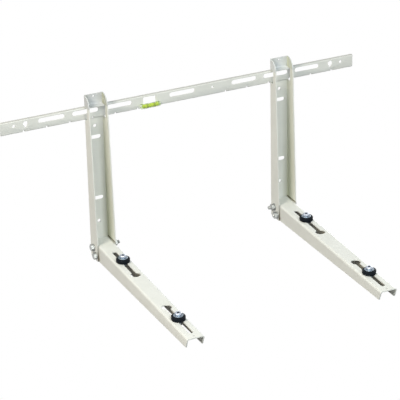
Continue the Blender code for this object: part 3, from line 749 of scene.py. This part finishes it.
def puck_mesh(name, radius, height):
    """A ring grid: bore, flat top, rounded rim, side with a parting line at half height."""
    bore = 4.3 * MM
    rim = 1.3 * MM
    bend = np.linspace(0, np.pi / 2, 6)
    rows = [(0, bore), (height, bore)]
    rows += [(height - rim + rim * np.cos(a), radius - rim + rim * np.sin(a)) for a in bend]
    rows += [(height / 2 + 0.35 * MM, radius - 0.1 * MM), (height / 2, radius),
             (height / 2 - 0.35 * MM, radius - 0.1 * MM)]
    rows += [(rim - rim * np.sin(a), radius - rim + rim * np.cos(a)) for a in bend]
    return grid_mesh(name, rows_to_points(rows), ring=True)


def cap_bolt_mesh(name, head_height, end):
    """Low knurled head, hexagon socket, then the thread from under the head down to the tip."""
    socket = hex_radius(SOCKET_FLATS)
    floor = head_height - SOCKET_DEPTH
    ridge = CAP_RADIUS - KNURL_DEPTH * (0.5 - 0.5 * np.cos(KNURLS * TURN))
    rows = [(floor - 0.8 * MM, 0.0), (floor, socket), (head_height - 0.3 * MM, socket),
            (head_height, socket + 0.3 * MM), (head_height, 5.6 * MM),
            (head_height - 0.25 * MM, 6.1 * MM), (head_height - 0.7 * MM, 6.35 * MM),
            (head_height - 1.0 * MM, ridge), (0.8 * MM, ridge), (0.4 * MM, 6.3 * MM), (0.0, 6.1 * MM),
            (0.0, THREAD_MAJOR / 2)]
    rows += thread_rows(-1.0 * MM, end)
    rows += [(end, THREAD_TIP_RADIUS), (end, 0.0)]
    return grid_mesh(name, rows_to_points(rows))


def darken_socket(mesh, middle, top):
    """Give painted shade to the faces inside the socket: near the axis and below the top."""
    mesh.materials.append(socket_shade)
    centres = face_table(mesh)[0] - np.array([middle.x, middle.y, top])
    near = np.hypot(centres[:, 0], centres[:, 1]) < SOCKET_REACH
    inside = near & (centres[:, 2] < -SOCKET_RIM) & (centres[:, 2] > -SOCKET_BOTTOM)
    mesh.polygons.foreach_set("material_index", inside.astype(np.int32))


for side in SIDES:
    for place in PLACES:
        body = f"{side}_{place}_mount"
        stem = body + "_"
        low, high, middle = node_box(stem + "rubber")
        puck = puck_mesh(stem + "rubber_fine", (high.x - low.x) / 2, high.z - low.z)
        place_piece(puck, Vector((middle.x, middle.y, low.z)), body, stem + "rubber", black_rubber)
        low, high, middle = node_box(stem + "bolt")
        cap = cap_bolt_mesh(stem + "bolt_fine", CAP_HEIGHT, low.z - high.z + CAP_HEIGHT)
        place_piece(cap, Vector((middle.x, middle.y, high.z - CAP_HEIGHT)), body, stem + "bolt", zinc_plate)
        darken_socket(cap, middle, high.z)
        low, high, middle = node_box(stem + "nut")
        nut = nut_mesh(stem + "nut_fine", (high.z - low.z) / 2)
        place_piece(nut, middle, body, stem + "nut", zinc_plate)
        for part in ("top_washer", "under_washer"):
            low, high, middle = node_box(stem + part)
            ring = washer_mesh(stem + part + "_fine", (high.y - low.y) / 2, (high.z - low.z) / 2)
            place_piece(ring, middle, body, stem + part, grey_zinc)
print("mounts dressed")

# %% [markdown]
# ## The spirit level
#
# The level is a clear tube with a round bore, closed by a plug. Two pairs of thin black lines printed
# round the tube frame the bubble. The plug and the liquid keep their solids and get a finish alone.

# %% Tube, plug, liquid and lines
tube_low, tube_high, tube_middle = node_box("level_tube")
TUBE_RADIUS = (tube_high.z - tube_low.z) / 2
HALF_TUBE = (tube_high.x - tube_low.x) / 2
END_WALL = 4 * MM
plug_low, plug_high, _ = node_box("level_plug")
BORE_RADIUS = (plug_high.z - plug_low.z) / 2 + 0.3 * MM
LINE_OFFSETS = (-8.5 * MM, -6.5 * MM, 6.5 * MM, 8.5 * MM)
LINE_WIDTH = 0.4 * MM


def tube_mesh(name):
    """Outer wall with rounded ends and the blind bore, open at the plug's end."""
    round_end = 0.6 * MM
    bend = np.linspace(0, np.pi / 2, 5)
    blind = -HALF_TUBE + END_WALL
    rows = [(blind, 0.0), (blind, BORE_RADIUS), (HALF_TUBE, BORE_RADIUS)]
    rows += [(HALF_TUBE - round_end + round_end * np.cos(a),
              TUBE_RADIUS - round_end + round_end * np.sin(a)) for a in bend]
    rows += [(-HALF_TUBE + round_end - round_end * np.sin(a),
              TUBE_RADIUS - round_end + round_end * np.cos(a)) for a in bend]
    rows += [(-HALF_TUBE, 0.0)]
    return grid_mesh(name, rows_to_points(rows))


def line_mesh(name, width):
    """A thin printed band that stands a hair proud of the tube."""
    inner = TUBE_RADIUS + 0.01 * MM
    outer = TUBE_RADIUS + 0.05 * MM
    rows = [(-width / 2, inner), (width / 2, inner), (width / 2, outer), (-width / 2, outer)]
    return grid_mesh(name, rows_to_points(rows), ring=True)


place_piece(tube_mesh("level_tube_fine"), tube_middle, "rail", "level_tube", clear_acrylic,
            facing="right")
for number, offset in enumerate(LINE_OFFSETS):
    place_piece(line_mesh(f"level_line_{number}", LINE_WIDTH), tube_middle + Vector((offset, 0, 0)),
                "rail", None, printed_black, facing="right")
for node, material in (("level_plug", clear_acrylic), ("level_liquid", level_liquid)):
    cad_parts[node].data.materials.clear()
    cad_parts[node].data.materials.append(material)
    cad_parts[node].data.shade_smooth()
print("level dressed")

# %% [markdown]
# ## Floor, light and camera
#
# The set is shown in front of pure white, as in a catalogue. A pale floor lies well below it and takes
# its shadow, and a glow that only the camera sees lifts the floor towards the white around it. Rays from
# the camera, and those mirrored or bent on the way, see plain white in the world. The object itself is
# lit by a soft sky that fades out below the horizon, so that the insides of the folded channels stay
# dark, and by three large lamps: a warm one from the left, a cool one in front, and a white one from
# behind on the right.

# %% Floor
FLOOR_LEVEL = -2.2
FLOOR_CORNERS = ((-0.8, -1.0), (0.8, -1.0), (0.8, 0.5), (-0.8, 0.5))
FLOOR_GLOW = 0.55
floor_mesh = bpy.data.meshes.new("studio_floor")
floor_mesh.from_pydata([(x, y, FLOOR_LEVEL) for x, y in FLOOR_CORNERS], [], [(0, 1, 2, 3)])
floor = add_object("studio_floor", floor_mesh)
floor_paint = finish_of("floor_paint", (0.82, 0.82, 0.82), (0.79, 0.79, 0.79), mottle_scale=1.5,
                        roughness=(0.85, 0.95), grain_scale=60.0, grain_depth=0.2 * MM)
floor_mesh.materials.append(floor_paint)
paint = floor_paint.node_tree
eye_rays = paint.nodes.new("ShaderNodeLightPath").outputs["Is Camera Ray"]
paint.links.new(arithmetic(paint, "MULTIPLY", eye_rays, FLOOR_GLOW),
                paint.nodes["Principled BSDF"].inputs["Emission Strength"])
paint.nodes["Principled BSDF"].inputs["Emission Color"].default_value = (1, 1, 1, 1)
print("floor:", FLOOR_LEVEL, "m")

# %% World
SKY_FADE = (-0.30, 0.15)
LOW_SKY = (0.080, 0.070, 0.045, 1)
HIGH_SKY = (0.94, 0.99, 1.0, 1)
SKY_STRENGTH = 0.42
world = bpy.data.worlds.new("studio_sky")
bpy.context.scene.world = world
world.use_nodes = True
sky = world.node_tree
heading = sky.nodes.new("ShaderNodeTexCoord")
axes = sky.nodes.new("ShaderNodeSeparateXYZ")
sky.links.new(heading.outputs["Generated"], axes.inputs["Vector"])
sky_colour = colour_mix(sky, ramp(sky, axes.outputs["Z"], *SKY_FADE), LOW_SKY, HIGH_SKY)
lit_sky = sky.nodes["Background"]
lit_sky.inputs["Strength"].default_value = SKY_STRENGTH
sky.links.new(sky_colour, lit_sky.inputs["Color"])
white_sky = sky.nodes.new("ShaderNodeBackground")
white_sky.inputs["Color"].default_value = (1, 1, 1, 1)
path = sky.nodes.new("ShaderNodeLightPath")
to_the_eye = path.outputs["Is Camera Ray"]
for ray in ("Is Glossy Ray", "Is Transmission Ray"):
    to_the_eye = arithmetic(sky, "MAXIMUM", to_the_eye, path.outputs[ray])
choose = sky.nodes.new("ShaderNodeMixShader")
sky.links.new(to_the_eye, choose.inputs["Fac"])
sky.links.new(lit_sky.outputs["Background"], choose.inputs[1])
sky.links.new(white_sky.outputs["Background"], choose.inputs[2])
sky.links.new(choose.outputs["Shader"], sky.nodes["World Output"].inputs["Surface"])
print("world:", world.name)


# %% Lamps
def soft_lamp(name, place, target, size, level, colour):
    """A square area lamp that lights its target at a level: power = level * pi squared * reach squared."""
    reach = (Vector(target) - Vector(place)).length
    light = bpy.data.lights.new(name, "AREA")
    light.energy = level * math.pi ** 2 * reach ** 2
    light.size = size
    light.color = colour
    lamp = add_object(name, light)
    lamp.location = place
    lamp.rotation_euler = (Vector(target) - Vector(place)).to_track_quat("-Z", "Y").to_euler()
    print(name, round(light.energy, 1), "W")


soft_lamp("left_lamp", (-3.0, -1.4, 2.2), (0, -0.2, -0.1), 1.4, 0.72, (1.0, 0.925, 0.78))
soft_lamp("front_lamp", (-0.3, -3.2, 2.1), (0, -0.1, -0.1), 1.8, 0.58, (0.93, 1.0, 1.0))
soft_lamp("back_lamp", (3.2, 2.4, -0.2), (0, -0.1, -0.1), 1.6, 0.50, (1.0, 1.0, 1.0))

# %% [markdown]
# ### Camera
#
# The picture was taken from the left, above and far away with a long lens. The values come from fitting
# a pinhole view to the rail's holes, the uprights' edges and the arms' slots, and after that to the
# object's outline.

# %% Camera from its fitted place, heading and lens
LENS_PIXELS = 2113.1
PICTURE_PIXELS = 400
SENSOR = 36.0
YAW, PITCH_DOWN, ROLL = 0.42541, -0.44782, -0.02263
CAMERA_PLACE = (-1.6369, -3.6950, 1.6955)
camera_data = bpy.data.cameras.new("photo_camera")
camera_data.sensor_width = SENSOR
camera_data.lens = LENS_PIXELS / PICTURE_PIXELS * SENSOR
camera_data.clip_end = 60
camera = add_object("photo_camera", camera_data)
forward = Vector((math.sin(YAW) * math.cos(PITCH_DOWN), math.cos(YAW) * math.cos(PITCH_DOWN),
                  math.sin(PITCH_DOWN)))
level_right = Vector((math.cos(YAW), -math.sin(YAW), 0))
level_up = level_right.cross(forward)
right = level_right * math.cos(ROLL) + level_up * math.sin(ROLL)
up = level_up * math.cos(ROLL) - level_right * math.sin(ROLL)
basis = Matrix((right, up, -forward)).transposed()
camera.matrix_world = Matrix.Translation(CAMERA_PLACE) @ basis.to_4x4()
bpy.context.scene.camera = camera
bpy.context.scene.view_settings.view_transform = "Standard"
print("lens in mm:", round(camera_data.lens, 1))
